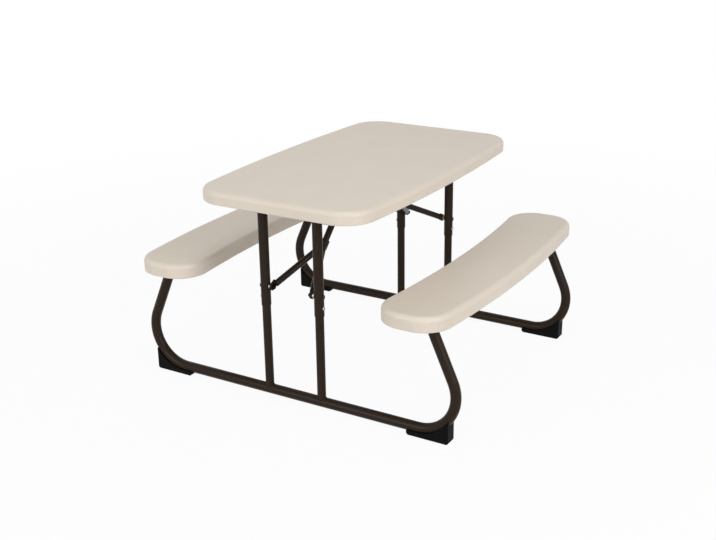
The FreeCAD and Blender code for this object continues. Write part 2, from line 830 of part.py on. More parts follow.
def make_keeper(end, sign, turn):
    """A steel channel below the top that holds the cross rod for the brace."""
    x = keeper_inset
    z = keeper_height
    top = table_underside
    gap = size.keeper_gap / 2
    wall = size.bracket_steel
    plate = size.keeper_plate / 2
    low = z - size.rod_radius * 2
    cheeks = [box(size.keeper_plate, wall, top - low, (x - plate, y, low)) for y in (gap, -gap - wall)]
    reach = gap + wall + size.keeper_flange
    web = box(size.keeper_plate, reach * 2, wall, (x - plate, -reach, top - wall))
    hole = cylinder(size.rod_radius + size.bolt_fit, reach * 2, (x, -reach, z), "Y")
    cheek = gap + wall + size.keeper_flange / 2
    keeper = cut(fuse(web, *cheeks), hole, flange_hole(x, cheek, top), flange_hole(x, -cheek, top))
    finish(at_end(keeper, sign, turn), end + "_brace_keeper")
    face = gap + wall
    rod = fuse(cylinder(size.rod_radius, face * 2, (x, -face, z), "Y"),
               cylinder(size.rod_head_radius, wall, (x, face, z), "Y"),
               cylinder(size.rod_head_radius, wall, (x, -face - wall, z), "Y"))
    finish(at_end(rod, sign, turn), end + "_keeper_rod")


# Braces

class Line:
    """A straight line from one point to another, in formulas, along which round pieces lie."""

    def __init__(self, start, end):
        self.start = start
        self.way = tuple(b - a for a, b in zip(start, end))
        x, y, z = self.way
        self.flat = root(x * x + y * y)
        self.length = root(x * x + y * y + z * z)

    def point(self, distance):
        return tuple(a + w * distance / self.length for a, w in zip(self.start, self.way))

    def rod(self, radius, height, distance=ZERO):
        """A round piece that starts at a distance along the line."""
        obj = cylinder(radius, height)
        x, y, z = self.way
        angle = arc_cosine(z / self.length)
        axis_x = -y / self.flat
        axis_y = x / self.flat
        obj.Placement.Rotation = FreeCAD.Rotation(vector(axis_x, axis_y, 0), angle.number)
        obj.setExpression("Placement.Rotation.Angle", angle.formula)
        obj.setExpression("Placement.Rotation.Axis.x", axis_x.formula)
        obj.setExpression("Placement.Rotation.Axis.y", axis_y.formula)
        put(obj, *self.point(distance))
        return obj


def make_brace(end, sign, turn):
    """A fork of two arms on the legs, joined by a collar to a stem that carries the keeper rod."""
    junction = (size.junction_inset, ZERO, junction_height)
    stem_line = Line(junction, (keeper_inset, ZERO, keeper_height))
    radius = size.arm_diameter / 2
    for side, y_sign in (("left", 1), ("right", -1)):
        arm = make_arm(junction, stem_line, y_sign)
        finish(at_end(arm, sign, turn), "%s_%s_brace_arm" % (end, side_name(end, side)))
    through = size.collar_length + size.overrun
    collar = cut(stem_line.rod(size.collar_diameter / 2, size.collar_length, -size.collar_length / 2),
                 stem_line.rod(radius + size.collar_fit, through, -through / 2))
    finish(at_end(collar, sign, turn), end + "_brace_collar")
    seat = size.rod_radius + size.hook_fit + size.hook_wall + size.hook_neck
    reach = stem_line.length - seat
    stem = cut(stem_line.rod(radius, reach),
               stem_line.rod(radius - size.arm_wall, reach + size.overrun, -size.overrun / 2))
    finish(at_end(stem, sign, turn), end + "_brace_stem")
    make_hook(end, sign, turn, stem_line, reach)


def make_arm(junction, stem_line, y_sign):
    """A tube flattened to a lug at the leg and cut to fit the collar."""
    y = arm_offset * y_sign
    pivot = (ZERO, y, brace_bolt_height)
    line = Line(pivot, junction)
    half = size.lug_thickness / 2
    lug = fuse(cylinder(size.lug_radius, size.lug_thickness, (0, -half, 0), "Y"),
               box(size.lug_length, size.lug_thickness, size.lug_radius * 2, (0, -half, -size.lug_radius)))
    slope = arc_tangent(line.way[2] / line.way[0])
    lug.Placement.Rotation = FreeCAD.Rotation(FreeCAD.Vector(0, -1, 0), slope.number)
    lug.setExpression("Placement.Rotation.Angle", slope.formula)
    put(lug, *pivot)
    start = size.lug_length - size.lug_overlap
    radius = size.arm_diameter / 2
    tube = line.rod(radius, line.length - start, start)
    bore = line.rod(radius - size.arm_wall, line.length, size.lug_length + size.lug_overlap)
    hole = cylinder(size.bolt_radius + size.bolt_fit, size.overrun,
                    (0, y - size.overrun / 2, brace_bolt_height), "Y")
    room = size.collar_length + size.overrun
    collar = stem_line.rod(size.collar_diameter / 2 + size.weld_gap, room, -room / 2)
    return cut(fuse(lug, tube), bore, hole, collar)


def make_hook(end, sign, turn, stem_line, seat):
    """A moulded saddle in the end of the stem: a hook under the keeper rod and up a little past it."""
    x = keeper_inset
    z = keeper_height
    width = size.hook_width
    stem_angle = arc_tangent(stem_line.way[2] / stem_line.way[0])
    lip_angle = HALF_TURN - stem_angle - size.hook_back_angle - size.hook_span_angle
    radius = size.arm_diameter / 2
    inner = size.rod_radius + size.hook_fit
    cradle = cylinder(inner + size.hook_wall, width, (0, -width / 2, 0), "Y")
    bind(cradle, Angle=size.hook_span_angle)
    cradle = group(cradle)
    cradle.Placement.Rotation = FreeCAD.Rotation(FreeCAD.Vector(0, 1, 0), lip_angle.number)
    cradle.setExpression("Placement.Rotation.Angle", lip_angle.formula)
    put(cradle, x, 0, z)
    cap = stem_line.rod(radius, size.hook_neck * 2, seat)
    spigot = stem_line.rod(radius - size.arm_wall - size.plug_fit, size.hook_spigot, seat - size.hook_spigot)
    through = width + size.overrun
    rod_room = cylinder(inner, through, (x, -through / 2, z), "Y")
    finish(at_end(cut(fuse(cradle, cap, spigot), rod_room), sign, turn), end + "_brace_saddle")


# Bench brackets and their bolts

def make_bench_bracket(end, sign, side, y_sign):
    """An inverted channel below the bench whose cheeks straddle the tube."""
    body = new_body("BenchBracket")
    inner = base_radius + size.bench_bracket_fit
    outer = bench_bracket_half
    z = size.bench_pivot_height
    tip = size.bench_bracket_end
    top = bench_underside
    shoulder = bench_height - size.bench_skirt_depth
    half_top = size.bench_bracket_top / 2
    sketch = new_sketch(body, "XZ")
    corners = ((-tip, z), (tip, z), (half_top, shoulder), (half_top, top),
               (-half_top, top), (-half_top, shoulder))
    add_outline(sketch, corners, ((0, tip * size.bench_bracket_round_share),))
    pad(body, sketch, outer * 2, symmetric=True)
    sketch = new_sketch(body, "YZ")
    add_outline(sketch, ((-inner, z - size.overrun), (inner, z - size.overrun),
                         (inner, top - size.bracket_steel), (-inner, top - size.bracket_steel)))
    pocket(body, sketch)
    sketch = new_sketch(body, "XY", top)
    reach = outer + size.bench_bracket_flange
    add_outline(sketch, ((-half_top, -reach), (half_top, -reach), (half_top, outer), (-half_top, outer)))
    pad(body, sketch, size.bracket_steel, down=True)
    sketch = new_sketch(body, "XY", top)
    for step in (-1, 1):
        add_circle(sketch, size.bench_screw_spacing / 2 * step, -outer - size.bench_bracket_flange / 2,
                   size.screw_radius + size.bolt_fit)
    pocket(body, sketch, size.bracket_steel)
    sketch = new_sketch(body, "XZ")
    add_circle(sketch, ZERO, z, size.bolt_radius + size.bolt_fit)
    pocket(body, sketch)
    if y_sign < 0:
        body.Placement.Rotation = FreeCAD.Rotation(FreeCAD.Vector(0, 0, 1), 180)
    put(body, half_spacing * sign, bench_pivot_offset * y_sign, 0)
    finish(body, "%s_bench_%s_bracket" % (side, end))


def make_bench_bolts(side, table_sign):
    """The two bolts and nuts on which one bench turns, heads on the outer side."""
    z = size.bench_pivot_height
    head = (bench_pivot_offset + bench_bracket_half) * table_sign
    face = bench_pivot_offset - bench_bracket_half
    tip = (face - size.nut_height) * table_sign
    bolts = []
    nuts = []
    for end, sign, turn in ENDS:
        x = half_spacing * sign
        piece = bolt(head, tip, z, table_sign)
        put(piece, x, 0, 0)
        bolts.append(piece)
        nut_y = face - size.nut_height if table_sign > 0 else -face
        nut = ring(size.nut_radius, size.nut_height, nut_y, z)
        put(nut, x, 0, 0)
        nuts.append(nut)
    finish(group(*bolts), side + "_bench_bolts")
    finish(group(*nuts), side + "_bench_nuts")


def build():
    make_table_top()
    make_bench("left", 0)
    make_bench("right", 180)
    for end, sign, turn in ENDS:
        make_base_tube(end, sign, turn)
        for side, y_sign in (("left", 1), ("right", -1)):
            make_foot(end, sign, turn, side)
            make_leg(end, sign, turn, side, y_sign)
            make_pivot_bracket(end, sign, turn, side, y_sign)
            make_bench_bracket(end, sign, side, y_sign)
        make_cross_tube(end, sign, turn)
        make_tube_caps(end, sign, turn)
        make_sleeve_screws(end, sign, turn)
        make_brace_bolts(end, sign, turn)
        make_keeper(end, sign, turn)
        make_brace(end, sign, turn)
    make_bench_bolts("left", 1)
    make_bench_bolts("right", -1)
    make_screws("table_screws", table_screw_places(), table_underside)
    make_screws("left_bench_screws", bench_screw_places(), bench_underside)
    make_screws("right_bench_screws", bench_screw_places(), bench_underside, 180)


def check():
    doc.recompute()
    for obj in doc.Objects:
        if "Invalid" in obj.State or "Error" in obj.State:
            raise RuntimeError("%s (%s) failed: %s" % (obj.Name, obj.Label, obj.State))
    for obj in sub_parts:
        if obj.Shape.isNull() or not obj.Shape.isValid():
            raise RuntimeError("%s has no valid shape" % obj.Label)


def export():
    os.makedirs("parts", exist_ok=True)
    for obj in sub_parts:
        obj.Shape.exportStep("parts/%s.step" % obj.Label)


build()
check()
export()
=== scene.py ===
import json
import math

import bmesh
import bpy
from bpy.props import FloatProperty, FloatVectorProperty, IntProperty, PointerProperty
from mathutils import Matrix, Vector

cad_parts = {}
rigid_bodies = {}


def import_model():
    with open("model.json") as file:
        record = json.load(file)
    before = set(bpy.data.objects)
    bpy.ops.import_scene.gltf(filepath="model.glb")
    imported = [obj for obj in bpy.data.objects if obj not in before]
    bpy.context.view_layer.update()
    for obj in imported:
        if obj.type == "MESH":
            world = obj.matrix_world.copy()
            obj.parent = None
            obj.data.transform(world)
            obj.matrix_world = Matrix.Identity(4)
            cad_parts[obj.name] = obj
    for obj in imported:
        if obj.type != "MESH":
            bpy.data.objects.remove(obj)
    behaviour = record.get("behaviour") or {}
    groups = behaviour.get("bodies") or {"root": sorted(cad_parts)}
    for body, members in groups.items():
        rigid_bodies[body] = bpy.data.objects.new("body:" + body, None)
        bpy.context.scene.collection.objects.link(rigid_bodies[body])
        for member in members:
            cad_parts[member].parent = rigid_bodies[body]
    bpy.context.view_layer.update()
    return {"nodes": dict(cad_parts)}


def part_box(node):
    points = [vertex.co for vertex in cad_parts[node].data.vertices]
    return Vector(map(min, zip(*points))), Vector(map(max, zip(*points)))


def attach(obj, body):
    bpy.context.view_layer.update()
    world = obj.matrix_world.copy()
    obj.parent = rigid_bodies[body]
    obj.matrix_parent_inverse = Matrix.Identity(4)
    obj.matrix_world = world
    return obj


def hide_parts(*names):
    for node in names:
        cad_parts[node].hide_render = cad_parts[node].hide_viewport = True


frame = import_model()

bl_info = {
    "name": "Folding picnic table",
    "version": (1, 0, 0),
    "blender": (4, 5, 0),
    "location": "3D View > Sidebar > Picnic Table",
    "description": "Finishes and fastenings of a child's folding picnic table",
    "category": "Object",
}

ENDS = ("near", "far")
SIDES = ("left", "right")
OUTWARDS = {"left": 1.0, "right": -1.0}  # which way along Y a side faces
LOW, HIGH = 0, 1
X, Y, Z = 0, 1, 2

MERGE = 2e-6  # points closer than this become one, in metres
LEVEL = 1e-6  # how far a face may lie from the height that it is chosen by, in metres
SHARP = math.radians(35.0)  # edges that turn by more than this stay sharp


# Settings that a user would change

def colour(name, description, default):
    return FloatVectorProperty(name=name, description=description, subtype="COLOR", size=3,
                               default=default, min=0.0, max=1.0)


def length(name, description, default):
    return FloatProperty(name=name, description=description, default=default, min=0.0, unit="LENGTH",
                         precision=5)


def share(name, description, default):
    return FloatProperty(name=name, description=description, default=default, min=0.0, max=1.0,
                         subtype="FACTOR")


def angle(name, description, degrees):
    return FloatProperty(name=name, description=description, default=math.radians(degrees), subtype="ANGLE")


def amount(name, description, default):
    return FloatProperty(name=name, description=description, default=default, min=0.0)


class MouldedFinish(bpy.types.PropertyGroup):
    """Almond polyethylene of the top and benches"""
    almond: colour("Almond", "Main colour of the mouldings", (0.664, 0.582, 0.488))
    almond_deep: colour("Deep almond", "Colour where the wall cooled more slowly", (0.651, 0.568, 0.473))
    mottle_size: length("Mottle size", "Width of the soft changes of colour", 0.09)
    grain_size: length("Grain size", "Width of one pebble of the mould's grain", 0.0016)
    grain_depth: length("Grain depth", "Height of the mould's grain", 0.00005)
    sink_size: length("Sink size", "Width of the slow waves in the blown wall", 0.12)
    sink_depth: length("Sink depth", "Height of the slow waves in the blown wall", 0.00016)
    roughness: share("Roughness", "Roughness of the grain", 0.42)
    roughness_spread: share("Roughness spread", "How far the grain's roughness varies", 0.05)
    shine: share("Shine", "Strength of reflections on the mouldings", 0.26)
    lip_radius: length("Lip radius", "Radius of the benches' rolled upper edge", 0.012)
    lip_segments: IntProperty(name="Lip segments", description="Steps round the rolled edge", default=12, min=3)
    top_seam_drop: length("Top seam", "How far the parting line lies below the table's surface", 0.0155)
    bench_seam_drop: length("Bench seam", "How far the parting line lies below a bench's surface", 0.0175)
    seam_width: length("Seam width", "Width of the parting line round the edge", 0.0011)
    seam_depth: length("Seam depth", "Depth of the parting line round the edge", 0.0002)


class SteelFinish(bpy.types.PropertyGroup):
    """Powder coat of the tubes, and zinc of the hardware"""
    bronze: colour("Bronze", "Colour of the powder coat", (0.0222, 0.0134, 0.0085))
    bronze_fleck: colour("Bronze fleck", "Colour of the fleck in the powder coat", (0.039, 0.026, 0.018))
    fleck_size: length("Fleck size", "Width of one fleck", 0.0007)
    peel_size: length("Peel size", "Width of one dimple of the coat", 0.0022)
    peel_depth: length("Peel depth", "Depth of the dimples of the coat", 0.00004)
    coat_roughness: share("Coat roughness", "Roughness of the powder coat", 0.3)
    coat_spread: share("Coat spread", "How far the coat's roughness varies", 0.06)
    coat_shine: share("Coat shine", "Strength of reflections on the powder coat", 0.09)
    zinc: colour("Zinc", "Colour of plated hardware", (0.56, 0.56, 0.53))
    zinc_dull: colour("Dull zinc", "Colour of the dull patches of the plate", (0.38, 0.38, 0.37))
    black_zinc: colour("Black zinc", "Colour of the black-plated brace bolts", (0.060, 0.052, 0.046))
    black_zinc_dull: colour("Dull black zinc", "Colour of their dull patches", (0.030, 0.026, 0.023))
    spangle_size: length("Spangle size", "Width of one patch of the plate", 0.004)
    scratch_size: length("Scratch size", "Width of the fine scratches in the plate", 0.0005)
    zinc_smooth: share("Smooth zinc", "Roughness of the plate where it is smooth", 0.28)
    zinc_worn: share("Worn zinc", "Roughness of the plate where it is scratched", 0.46)


class BlackFinish(bpy.types.PropertyGroup):
    """Black plastic of the feet, plugs, caps, saddles and nuts"""
    black: colour("Black", "Colour of the plastic", (0.0028, 0.0026, 0.0025))
    scuff: colour("Scuff", "Colour of the rubbed places", (0.0070, 0.0066, 0.0064))
    scuff_size: length("Scuff size", "Width of the rubbed places", 0.03)
    grain_size: length("Grain size", "Width of one pebble of the grain", 0.0013)
    grain_depth: length("Grain depth", "Height of the grain", 0.00006)
    roughness: share("Roughness", "Roughness of the plastic", 0.5)
    scuff_roughness: share("Scuff roughness", "Roughness of the rubbed places", 0.65)
    shine: share("Shine", "Strength of reflections on the plastic", 0.06)


class FastenerSizes(bpy.types.PropertyGroup):
    """Sizes of bolts, nuts, screws and welds"""
    flange_thickness: length("Flange", "Thickness of the flange below a bolt head", 0.0011)
    hex_share: share("Hex share", "Width of the hexagon over the width of its flange", 0.84)
    button_share: share("Button height", "Height of a round bolt head over that of its CAD head", 0.62)
    thread_radius: length("Thread radius", "Outer radius of the bolt threads", 0.0031)
    thread_pitch: length("Thread pitch", "Distance from thread to thread", 0.0012)
    thread_length: length("Thread length", "Length of the threaded part", 0.012)
    nut_height: length("Nut height", "Height of a lock nut", 0.006)
    nut_collar: length("Nut collar", "Height of the round collar of a lock nut", 0.0018)
    nut_chamfer: length("Nut chamfer", "Chamfer of the corners of nuts and bolt heads", 0.0007)
    cross_width: length("Cross width", "Width of one arm of the cross in a screw head", 0.0011)
    cross_length: length("Cross length", "Length of the cross in a screw head", 0.0056)
    cross_depth: length("Cross depth", "Depth of the cross in a screw head", 0.0014)
    screw_head_width: length("Screw head width", "Width of the head of a bracket screw", 0.0092)
    screw_head_height: length("Screw head height", "Height of the head of a bracket screw", 0.0026)
    sleeve_screw_reach: length("Sleeve screw reach", "Length of a sleeve screw below its head", 0.0045)
    weld_radius: length("Weld radius", "Radius of the bead between a leg and the base tube", 0.0017)
    cross_weld_radius: length("Cross weld radius", "Radius of the bead between a sleeve and the cross tube",
                              0.0009)
    weld_ripples: IntProperty(name="Weld ripples", description="Ripples round one weld", default=26, min=4)


class StageSettings(bpy.types.PropertyGroup):
    """Camera, lamps and floor"""
    place: FloatVectorProperty(name="Camera place", description="Where the camera stands", subtype="XYZ",
                               unit="LENGTH", size=3, default=(-2.3727, -1.4114, 1.2638))
    yaw: angle("Yaw", "Turn of the view from +X towards +Y", 31.11)
    pitch: angle("Pitch", "How far the view looks down", 20.45)
    roll: angle("Roll", "Tilt of the picture", -0.85)
    lens: amount("Lens", "Focal length on a 36 mm sensor, in millimetres", 56.26)
    floor_size: length("Floor size", "Width of the floor", 44.0)
    floor_white: colour("Floor", "Colour of the floor", (0.72, 0.72, 0.72))
    floor_glow: share("Floor glow", "Share of plain white in what the camera sees of the floor", 0.94)
    shadow_reach: length("Shadow reach", "How far round the table the floor keeps its shadow", 0.9)
    lamp_tint: colour("Lamp tint", "Colour of the lamps, a little cooler than the sky", (0.94, 0.97, 1.0))
    sky: amount("Sky", "Strength of the even light from all round", 0.46)
    key: amount("Key lamp", "Power of the main lamp", 62.0)
    fill: amount("Fill lamp", "Power of the fill lamp", 52.0)
    top: amount("Top lamp", "Power of the lamp overhead", 12.0)
    rim: amount("Rim lamp", "Power of the lamp behind", 8.0)


class PicnicSettings(bpy.types.PropertyGroup):
    """All settings of the table"""
    moulded: PointerProperty(type=MouldedFinish)
    steel: PointerProperty(type=SteelFinish)
    black: PointerProperty(type=BlackFinish)
    fasteners: PointerProperty(type=FastenerSizes)
    stage: PointerProperty(type=StageSettings)


# Materials

NOISE_SPAN = (0.2, 0.8)  # where most values of a fine noise lie
SCUFF_SPAN = (0.3, 0.8)  # the values over which a rubbed place gets rougher


def add_node(tree, kind, inputs=None, **settings):
    """Adds a node with its settings. A socket in inputs is linked and any other value is set."""
    node = tree.nodes.new(kind)
    for name, value in settings.items():
        setattr(node, name, value)
    for name, value in (inputs or {}).items():
        if isinstance(value, bpy.types.NodeSocket):
            tree.links.new(value, node.inputs[name])
        else:
            node.inputs[name].default_value = value
    return node


def new_material(name):
    """A new material with its node tree, its shader and the Object coordinates."""
    material = bpy.data.materials.new(name)
    material.use_nodes = True
    tree = material.node_tree
    place = add_node(tree, "ShaderNodeTexCoord").outputs["Object"]
    return material, tree, tree.nodes["Principled BSDF"], place


def noise(tree, place, width, detail=2.0, roughness=0.5):
    """A noise whose patches are about that wide."""
    inputs = {"Vector": place, "Scale": 1.0 / width, "Detail": detail, "Roughness": roughness}
    return add_node(tree, "ShaderNodeTexNoise", inputs).outputs["Fac"]


def blend_colours(tree, factor, first, second, low=0.35, high=0.65):
    """A ramp from the first colour to the second as factor goes from low to high."""
    ramp = add_node(tree, "ShaderNodeValToRGB", {"Fac": factor})
    for element, place, value in zip(ramp.color_ramp.elements, (low, high), (first, second)):
        element.position = place
        element.color = (*value, 1.0)
    return ramp.outputs["Color"]


def between(tree, value, low, high, to_low, to_high):
    """Goes from to_low to to_high as value goes from low to high."""
    inputs = {"Value": value, "From Min": low, "From Max": high, "To Min": to_low, "To Max": to_high}
    return add_node(tree, "ShaderNodeMapRange", inputs).outputs["Result"]


def bump(tree, height, depth, under=None):
    """A normal that follows a height, on top of the normal under it."""
    inputs = {"Height": height, "Distance": depth, "Strength": 1.0}
    if under is not None:
        inputs["Normal"] = under
    return add_node(tree, "ShaderNodeBump", inputs).outputs["Normal"]


def seam_height(tree, place, height, width):
    """0 on the parting line at that height and 1 off it."""
    z = add_node(tree, "ShaderNodeSeparateXYZ", {"Vector": place}).outputs["Z"]
    off = add_node(tree, "ShaderNodeMath", {0: z, 1: height}, operation="SUBTRACT").outputs[0]
    away = add_node(tree, "ShaderNodeMath", {0: off}, operation="ABSOLUTE").outputs[0]
    return between(tree, away, 0.0, width, 0.0, 1.0)


def seen_directly(tree):
    """1 for rays from the camera, in a mirror or through glass, and 0 for light on the object."""
    path = add_node(tree, "ShaderNodeLightPath").outputs
    seen = add_node(tree, "ShaderNodeMath", {0: path["Is Camera Ray"], 1: path["Is Glossy Ray"]},
                    operation="MAXIMUM").outputs[0]
    return add_node(tree, "ShaderNodeMath", {0: seen, 1: path["Is Transmission Ray"]},
                    operation="MAXIMUM").outputs[0]


def dress(tree, shader, colours, roughness, normal=None):
    """Links a finish to its shader."""
    tree.links.new(colours, shader.inputs["Base Color"])
    tree.links.new(roughness, shader.inputs["Roughness"])
    if normal is not None:
        tree.links.new(normal, shader.inputs["Normal"])


def moulded_material(name, look, seam_z):
    """Blown polyethylene: slow waves, pebbled grain, soft mottle and a parting line."""
    material, tree, shader, place = new_material(name)
    mottle = noise(tree, place, look.mottle_size, detail=4.0)
    grain = noise(tree, place, look.grain_size, detail=3.0, roughness=0.6)
    sinks = noise(tree, place, look.sink_size, detail=1.0)
    seam = seam_height(tree, place, seam_z, look.seam_width)
    normal = bump(tree, sinks, look.sink_depth)
    normal = bump(tree, seam, look.seam_depth, normal)
    normal = bump(tree, grain, look.grain_depth, normal)
    colours = blend_colours(tree, mottle, look.almond_deep, look.almond)
    roughness = between(tree, grain, *NOISE_SPAN, look.roughness - look.roughness_spread,
                        look.roughness + look.roughness_spread)
    dress(tree, shader, colours, roughness, normal)
    shader.inputs["Specular IOR Level"].default_value = look.shine
    return material


def powder_material(name, look):
    """Dark bronze powder coat with a fine fleck and orange peel."""
    material, tree, shader, place = new_material(name)
    fleck = noise(tree, place, look.fleck_size, detail=2.0, roughness=0.7)
    peel = noise(tree, place, look.peel_size, detail=1.5)
    colours = blend_colours(tree, fleck, look.bronze, look.bronze_fleck, low=0.52, high=0.74)
    roughness = between(tree, peel, *NOISE_SPAN, look.coat_roughness - look.coat_spread,
                        look.coat_roughness + look.coat_spread)
    dress(tree, shader, colours, roughness, bump(tree, peel, look.peel_depth))
    shader.inputs["Specular IOR Level"].default_value = look.coat_shine
    return material


def plate_material(name, look, bright, dull):
    """Plated steel with dull patches and fine scratches."""
    material, tree, shader, place = new_material(name)
    spangle = add_node(tree, "ShaderNodeTexVoronoi", {"Vector": place, "Scale": 1.0 / look.spangle_size})
    patch = add_node(tree, "ShaderNodeSeparateColor", {"Color": spangle.outputs["Color"]}).outputs["Red"]
    scratch = noise(tree, place, look.scratch_size, detail=3.0)
    colours = blend_colours(tree, patch, dull, bright, low=0.1, high=0.9)
    dress(tree, shader, colours, between(tree, scratch, *NOISE_SPAN, look.zinc_smooth, look.zinc_worn))
    shader.inputs["Metallic"].default_value = 1.0
    return material


def black_material(name, look):
    """Black moulded plastic, a little rubbed."""
    material, tree, shader, place = new_material(name)
    scuff = noise(tree, place, look.scuff_size, detail=5.0, roughness=0.65)
    grain = noise(tree, place, look.grain_size, detail=2.0)
    colours = blend_colours(tree, scuff, look.black, look.scuff, low=0.5, high=0.8)
    roughness = between(tree, scuff, *SCUFF_SPAN, look.roughness, look.scuff_roughness)
    dress(tree, shader, colours, roughness, bump(tree, grain, look.grain_depth))
    shader.inputs["Specular IOR Level"].default_value = look.shine
    return material


def finish_of(name, maker, *arguments):
    """The material of that name, made the first time it is asked for."""
    return bpy.data.materials.get(name) or maker(name, *arguments)


def bronze_finish(settings):
    """Powder coat of the tubes and welds."""
    return finish_of("bronze_powder_coat", powder_material, settings.steel)


def black_finish(settings):
    """Plastic of the feet, plugs, caps, saddles and nuts."""
    return finish_of("rubbed_black_plastic", black_material, settings.black)


def zinc_finish(settings):
    """Bright plate of the brackets, keepers, screws and bench bolts."""
    steel = settings.steel
    return finish_of("zinc_plate", plate_material, steel, steel.zinc, steel.zinc_dull)


def black_zinc_finish(settings):
    """Black plate of the brace bolts."""
    steel = settings.steel
    return finish_of("black_zinc_plate", plate_material, steel, steel.black_zinc, steel.black_zinc_dull)


def coat(obj, material):
    """Gives a new piece its only material."""
    obj.data.materials.clear()
    obj.data.materials.append(material)


def paint_node(name, material):
    """Gives a CAD node its finish."""
    node = frame["nodes"][name]
    for index in range(len(node.data.materials)):
        node.data.materials[index] = material
    if not node.data.materials:
        node.data.materials.append(material)


# Places of CAD nodes

def middle(node):
    """The centre of a node's box."""
    return [(low + high) / 2.0 for low, high in zip(*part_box(node))]


def half_width(node, axis):
    """Half of a node's size along an axis."""
    low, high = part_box(node)
    return (high[axis] - low[axis]) / 2.0


def span_outwards(node, outwards):
    """How far the inner and outer end of a node on one side lie from the middle of the table."""
    low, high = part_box(node)
    return (low[Y], high[Y]) if outwards > 0 else (-high[Y], -low[Y])


def pair_across(node, head_height):
    """Seats of the two heads of a node that has one fastener at each side, pointing outwards."""
    x, _, z = middle(node)
    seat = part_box(node)[HIGH][Y] - head_height
    return [((x, seat * sign, z), (0.0, sign, 0.0)) for sign in OUTWARDS.values()]


def upright_columns(node, width):
    """The x and y of each upright fastener in a node whose fasteners are no wider than width."""
    apart = width * 1.05  # points closer than this belong to one fastener
    groups = []
    for vertex in frame["nodes"][node].data.vertices:
        point = frame["nodes"][node].matrix_world @ vertex.co
        for group in groups:
            if (group[0].xy - point.xy).length < apart:
                group.append(point)
                break
        else:
            groups.append([point])
    return [[(min(point[axis] for point in group) + max(point[axis] for point in group)) / 2.0
             for axis in (X, Y)] for group in groups]


# Mesh tools

def clear_selection():
    """Leaves edit mode and deselects everything."""
    if bpy.context.object and bpy.context.object.mode != "OBJECT":
        bpy.ops.object.mode_set(mode="OBJECT")
    bpy.ops.object.select_all(action="DESELECT")


def select_only(obj):
    """Makes an object the active one and the only one selected."""
    clear_selection()
    obj.select_set(True)
    bpy.context.view_layer.objects.active = obj


def start_cylinder(sides, radius, height, base=0.0):
    """A new cylinder along Z that stands on base, alone in the selection and in edit mode."""
    clear_selection()
    bpy.ops.mesh.primitive_cylinder_add(vertices=sides, radius=radius, depth=height,
                                        location=(0.0, 0.0, base + height / 2.0))
    bpy.ops.object.transform_apply(location=True, rotation=False, scale=False)
    bpy.ops.object.mode_set(mode="EDIT")
    bpy.ops.mesh.select_mode(type="FACE")
    return bpy.context.object


def choose_faces(obj, test):
    """Selects, in edit mode, just the faces that pass the test."""
    mesh = bmesh.from_edit_mesh(obj.data)
    for face in mesh.faces:
        face.select_set(bool(test(face)))
    mesh.select_flush_mode()
    bmesh.update_edit_mesh(obj.data)


def chamfer_top(obj, inset, drop):
    """Insets the top face and lowers the ring outside it."""
    top = max(vertex.co.z for vertex in bmesh.from_edit_mesh(obj.data).verts)
    choose_faces(obj, lambda face: face.calc_center_median().z > top - LEVEL)
    bpy.ops.transform.translate(value=(0.0, 0.0, -drop))
    bpy.ops.mesh.inset(thickness=inset)
    bpy.ops.transform.translate(value=(0.0, 0.0, drop))


def smooth():
    """Leaves edit mode and smooths the active object up to its sharp edges."""
    bpy.ops.object.mode_set(mode="OBJECT")
    bpy.ops.object.shade_smooth_by_angle(angle=SHARP)


def soften(obj, width, segments=2):
    """Rounds the sharp edges of a finished mesh."""
    bpy.ops.object.mode_set(mode="OBJECT")
    modifier = obj.modifiers.new("soften", "BEVEL")
    modifier.width = width
    modifier.segments = segments
    modifier.limit_method = "ANGLE"
    modifier.angle_limit = SHARP
    bpy.ops.object.modifier_apply(modifier=modifier.name)
    smooth()


def join(pieces, name):
    """Joins pieces in the first one and names it."""
    select_only(pieces[0])
    for piece in pieces[1:]:
        piece.select_set(True)
    if len(pieces) > 1:
        bpy.ops.object.join()
    pieces[0].name = name
    pieces[0].data.name = name
    return pieces[0]


def copies(model, places, name):
    """Copies of a model, which points along +Z, at each (point, direction), joined in one object."""
    made = []
    for point, direction in places:
        select_only(model)
        bpy.ops.object.duplicate()
        copy = bpy.context.object
        turn = Vector((0.0, 0.0, 1.0)).rotation_difference(Vector(direction))
        copy.matrix_world = Matrix.Translation(point) @ turn.to_matrix().to_4x4()
        bpy.ops.object.transform_apply(location=True, rotation=True, scale=True)
        made.append(copy)
    return join(made, name)


def discard(obj):
    """Removes an object and its mesh."""
    mesh = obj.data
    bpy.data.objects.remove(obj)
    bpy.data.meshes.remove(mesh)


def settle(obj, material, body, slot, *nodes):
    """Finishes a new piece, puts it on its body and lets it stand for its CAD nodes."""
    coat(obj, material)
    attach(obj, body)
    if nodes:
        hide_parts(*nodes)


def fit(model, places, name, material, body, slot, node):
    """Puts copies of a model at their places, where they stand for their CAD node."""
    made = copies(model, places, name)
    discard(model)
    settle(made, material, body, slot, node)


# Mouldings

def copy_node(node, name):
    """A copy of a CAD node's mesh in an object of its own, alone in the selection."""
    source = frame["nodes"][node]
    mesh = source.data.copy()
    mesh.name = name
    mesh.transform(source.matrix_world)
    copy = bpy.data.objects.new(name, mesh)
    bpy.context.scene.collection.objects.link(copy)
    select_only(copy)
    return copy


def merge_points():
    """Merges, in edit mode, the points of the whole mesh that lie in one place."""
    bpy.ops.mesh.select_all(action="SELECT")
    bpy.ops.mesh.remove_doubles(threshold=MERGE)


def lowest(face):
    """The height of a face's lowest corner."""
    return min(vertex.co.z for vertex in face.verts)


